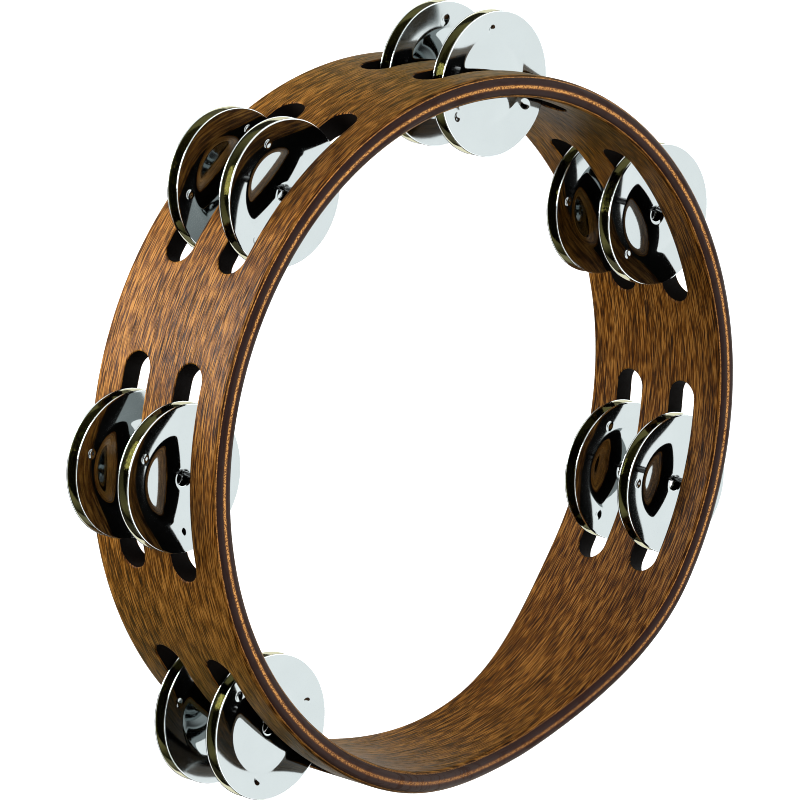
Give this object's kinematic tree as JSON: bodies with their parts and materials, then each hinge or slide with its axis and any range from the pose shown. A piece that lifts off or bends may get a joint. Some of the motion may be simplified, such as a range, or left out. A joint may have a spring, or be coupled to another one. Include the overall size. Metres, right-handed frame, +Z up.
{
  "type": "tambourine",
  "caption": "Headless wooden tambourine: a bent plywood ring waisted at the grip, with two rows of slots where loose pairs of dished steel jingles hang on steel pins.",
  "frame": {"origin": "the middle of the grip: half-way across the shell's depth, in the middle of its wall, where a hand holds it", "axes": "+Z up with the instrument held upright by its grip; +Y along the shell's axis, from the front edge to the back edge; +X to the right seen from the front. The grip is 13.8 degrees to the right of straight down"},
  "size_m": [0.2902, 0.0644, 0.2716],
  "materials": {
    "stained_wood": "walnut-brown stained plywood under a thin satin lacquer, plies showing on the rounded edges",
    "jingle_steel": "mirror-bright plated steel sheet",
    "pin_steel": "drawn steel wire"
  },
  "bodies": {
    "frame": {"shell": "stained_wood", "pin_lower_left": "pin_steel", "pin_left": "pin_steel", "pin_upper_left": "pin_steel", "pin_top": "pin_steel", "pin_upper_right": "pin_steel", "pin_right": "pin_steel"},
    "jingle_lower_left_front_row_1": {"jingle_lower_left_front_row_1": "jingle_steel"},
    "jingle_lower_left_front_row_2": {"jingle_lower_left_front_row_2": "jingle_steel"},
    "jingle_lower_left_back_row_1": {"jingle_lower_left_back_row_1": "jingle_steel"},
    "jingle_lower_left_back_row_2": {"jingle_lower_left_back_row_2": "jingle_steel"},
    "jingle_left_front_row_1": {"jingle_left_front_row_1": "jingle_steel"},
    "jingle_left_front_row_2": {"jingle_left_front_row_2": "jingle_steel"},
    "jingle_left_back_row_1": {"jingle_left_back_row_1": "jingle_steel"},
    "jingle_left_back_row_2": {"jingle_left_back_row_2": "jingle_steel"},
    "jingle_upper_left_front_row_1": {"jingle_upper_left_front_row_1": "jingle_steel"},
    "jingle_upper_left_front_row_2": {"jingle_upper_left_front_row_2": "jingle_steel"},
    "jingle_upper_left_back_row_1": {"jingle_upper_left_back_row_1": "jingle_steel"},
    "jingle_upper_left_back_row_2": {"jingle_upper_left_back_row_2": "jingle_steel"},
    "jingle_top_front_row_1": {"jingle_top_front_row_1": "jingle_steel"},
    "jingle_top_front_row_2": {"jingle_top_front_row_2": "jingle_steel"},
    "jingle_top_back_row_1": {"jingle_top_back_row_1": "jingle_steel"},
    "jingle_top_back_row_2": {"jingle_top_back_row_2": "jingle_steel"},
    "jingle_upper_right_front_row_1": {"jingle_upper_right_front_row_1": "jingle_steel"},
    "jingle_upper_right_front_row_2": {"jingle_upper_right_front_row_2": "jingle_steel"},
    "jingle_upper_right_back_row_1": {"jingle_upper_right_back_row_1": "jingle_steel"},
    "jingle_upper_right_back_row_2": {"jingle_upper_right_back_row_2": "jingle_steel"},
    "jingle_right_front_row_1": {"jingle_right_front_row_1": "jingle_steel"},
    "jingle_right_front_row_2": {"jingle_right_front_row_2": "jingle_steel"},
    "jingle_right_back_row_1": {"jingle_right_back_row_1": "jingle_steel"},
    "jingle_right_back_row_2": {"jingle_right_back_row_2": "jingle_steel"}
  },
  "joints": [
    {"name": "spin_lower_left_front_row_1", "type": "hinge", "parent": "frame", "child": "jingle_lower_left_front_row_1", "pos_m": [-0.11432, -0.01315, 0.03053], "axis": [0, 1, 0], "continuous": true},
    {"name": "spin_lower_left_front_row_2", "type": "hinge", "parent": "frame", "child": "jingle_lower_left_front_row_2", "pos_m": [-0.11432, -0.00835, 0.03053], "axis": [0, 1, 0], "continuous": true},
    {"name": "spin_lower_left_back_row_1", "type": "hinge", "parent": "frame", "child": "jingle_lower_left_back_row_1", "pos_m": [-0.11432, 0.01295, 0.03053], "axis": [0, 1, 0], "continuous": true},
    {"name": "spin_lower_left_back_row_2", "type": "hinge", "parent": "frame", "child": "jingle_lower_left_back_row_2", "pos_m": [-0.11432, 0.01775, 0.03053], "axis": [0, 1, 0], "continuous": true},
    {"name": "spin_left_front_row_1", "type": "hinge", "parent": "frame", "child": "jingle_left_front_row_1", "pos_m": [-0.1522, -0.01225, 0.12524], "axis": [0, 1, 0], "continuous": true},
    {"name": "spin_left_front_row_2", "type": "hinge", "parent": "frame", "child": "jingle_left_front_row_2", "pos_m": [-0.1522, -0.00745, 0.12524], "axis": [0, 1, 0], "continuous": true},
    {"name": "spin_left_back_row_1", "type": "hinge", "parent": "frame", "child": "jingle_left_back_row_1", "pos_m": [-0.1522, 0.01365, 0.12524], "axis": [0, 1, 0], "continuous": true},
    {"name": "spin_left_back_row_2", "type": "hinge", "parent": "frame", "child": "jingle_left_back_row_2", "pos_m": [-0.1522, 0.01845, 0.12524], "axis": [0, 1, 0], "continuous": true},
    {"name": "spin_upper_left_front_row_1", "type": "hinge", "parent": "frame", "child": "jingle_upper_left_front_row_1", "pos_m": [-0.10557, -0.01225, 0.21598], "axis": [0, 1, 0], "continuous": true},
    {"name": "spin_upper_left_front_row_2", "type": "hinge", "parent": "frame", "child": "jingle_upper_left_front_row_2", "pos_m": [-0.10557, -0.00745, 0.21598], "axis": [0, 1, 0], "continuous": true},
    {"name": "spin_upper_left_back_row_1", "type": "hinge", "parent": "frame", "child": "jingle_upper_left_back_row_1", "pos_m": [-0.10557, 0.01365, 0.21598], "axis": [0, 1, 0], "continuous": true},
    {"name": "spin_upper_left_back_row_2", "type": "hinge", "parent": "frame", "child": "jingle_upper_left_back_row_2", "pos_m": [-0.10557, 0.01845, 0.21598], "axis": [0, 1, 0], "continuous": true},
    {"name": "spin_top_front_row_1", "type": "hinge", "parent": "frame", "child": "jingle_top_front_row_1", "pos_m": [-0.0065, -0.01255, 0.24031], "axis": [0, 1, 0], "continuous": true},
    {"name": "spin_top_front_row_2", "type": "hinge", "parent": "frame", "child": "jingle_top_front_row_2", "pos_m": [-0.0065, -0.00775, 0.24031], "axis": [0, 1, 0], "continuous": true},
    {"name": "spin_top_back_row_1", "type": "hinge", "parent": "frame", "child": "jingle_top_back_row_1", "pos_m": [-0.0065, 0.01355, 0.24031], "axis": [0, 1, 0], "continuous": true},
    {"name": "spin_top_back_row_2", "type": "hinge", "parent": "frame", "child": "jingle_top_back_row_2", "pos_m": [-0.0065, 0.01835, 0.24031], "axis": [0, 1, 0], "continuous": true},
    {"name": "spin_upper_right_front_row_1", "type": "hinge", "parent": "frame", "child": "jingle_upper_right_front_row_1", "pos_m": [0.07686, -0.01225, 0.18151], "axis": [0, 1, 0], "continuous": true},
    {"name": "spin_upper_right_front_row_2", "type": "hinge", "parent": "frame", "child": "jingle_upper_right_front_row_2", "pos_m": [0.07686, -0.00745, 0.18151], "axis": [0, 1, 0], "continuous": true},
    {"name": "spin_upper_right_back_row_1", "type": "hinge", "parent": "frame", "child": "jingle_upper_right_back_row_1", "pos_m": [0.07686, 0.01365, 0.18151], "axis": [0, 1, 0], "continuous": true},
    {"name": "spin_upper_right_back_row_2", "type": "hinge", "parent": "frame", "child": "jingle_upper_right_back_row_2", "pos_m": [0.07686, 0.01845, 0.18151], "axis": [0, 1, 0], "continuous": true},
    {"name": "spin_right_front_row_1", "type": "hinge", "parent": "frame", "child": "jingle_right_front_row_1", "pos_m": [0.08717, -0.01285, 0.08001], "axis": [0, 1, 0], "continuous": true},
    {"name": "spin_right_front_row_2", "type": "hinge", "parent": "frame", "child": "jingle_right_front_row_2", "pos_m": [0.08717, -0.00805, 0.08001], "axis": [0, 1, 0], "continuous": true},
    {"name": "spin_right_back_row_1", "type": "hinge", "parent": "frame", "child": "jingle_right_back_row_1", "pos_m": [0.08717, 0.01365, 0.08001], "axis": [0, 1, 0], "continuous": true},
    {"name": "spin_right_back_row_2", "type": "hinge", "parent": "frame", "child": "jingle_right_back_row_2", "pos_m": [0.08717, 0.01845, 0.08001], "axis": [0, 1, 0], "continuous": true}
  ]
}
